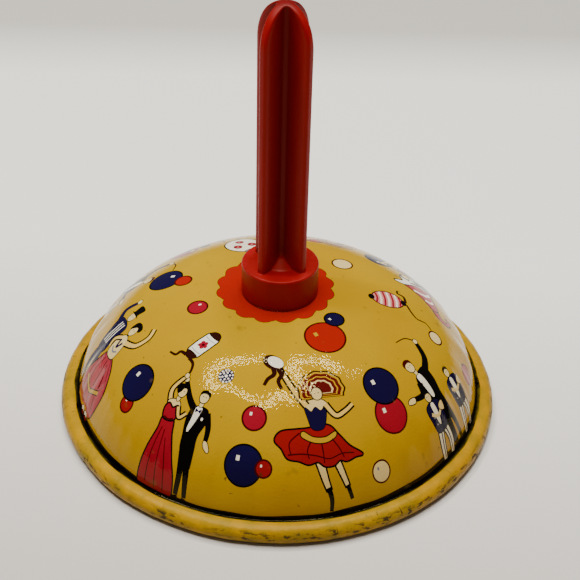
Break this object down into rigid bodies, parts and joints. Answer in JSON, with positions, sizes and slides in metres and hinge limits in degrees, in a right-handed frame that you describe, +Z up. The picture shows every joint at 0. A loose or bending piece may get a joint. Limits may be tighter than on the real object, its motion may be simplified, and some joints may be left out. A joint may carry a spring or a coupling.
{
  "type": "tin litho party bell",
  "caption": "Hand-held party noisemaker: printed tin dome with a curled rim, ribbed plastic grip on the crown, and a wooden clapper that swings inside.",
  "frame": {"origin": "on the ground under the centre of the dome, at the foot of the curled rim", "axes": "+Z up along the grip and the dome's axis; the clapper's hinge pin lies along Y, and the clapper swings towards +X and -X"},
  "size_m": [0.129, 0.129, 0.1221],
  "materials": {
    "printed_tin": "glossy lithographed yellow with printed party art, worn at the rim",
    "red_plastic": "glossy moulded dark red",
    "zinc_plate": "zinc plated, slightly dull",
    "bright_steel": "bright pressed strip steel",
    "turned_wood": "plain turned beech, thin lacquer"
  },
  "bodies": {
    "bell": {"bell_shell": "printed_tin", "handle": "red_plastic", "handle_screw": "zinc_plate", "screw_washer": "zinc_plate", "clapper_bracket": "bright_steel", "clapper_pin": "bright_steel"},
    "clapper": {"clapper_arm": "bright_steel", "clapper_ball": "turned_wood"}
  },
  "joints": [
    {"name": "clapper_swing", "type": "hinge", "parent": "bell", "child": "clapper", "pos_m": [0, 0, 0.02947], "axis": [0, 1, 0], "range_deg": [-87, 87]}
  ]
}
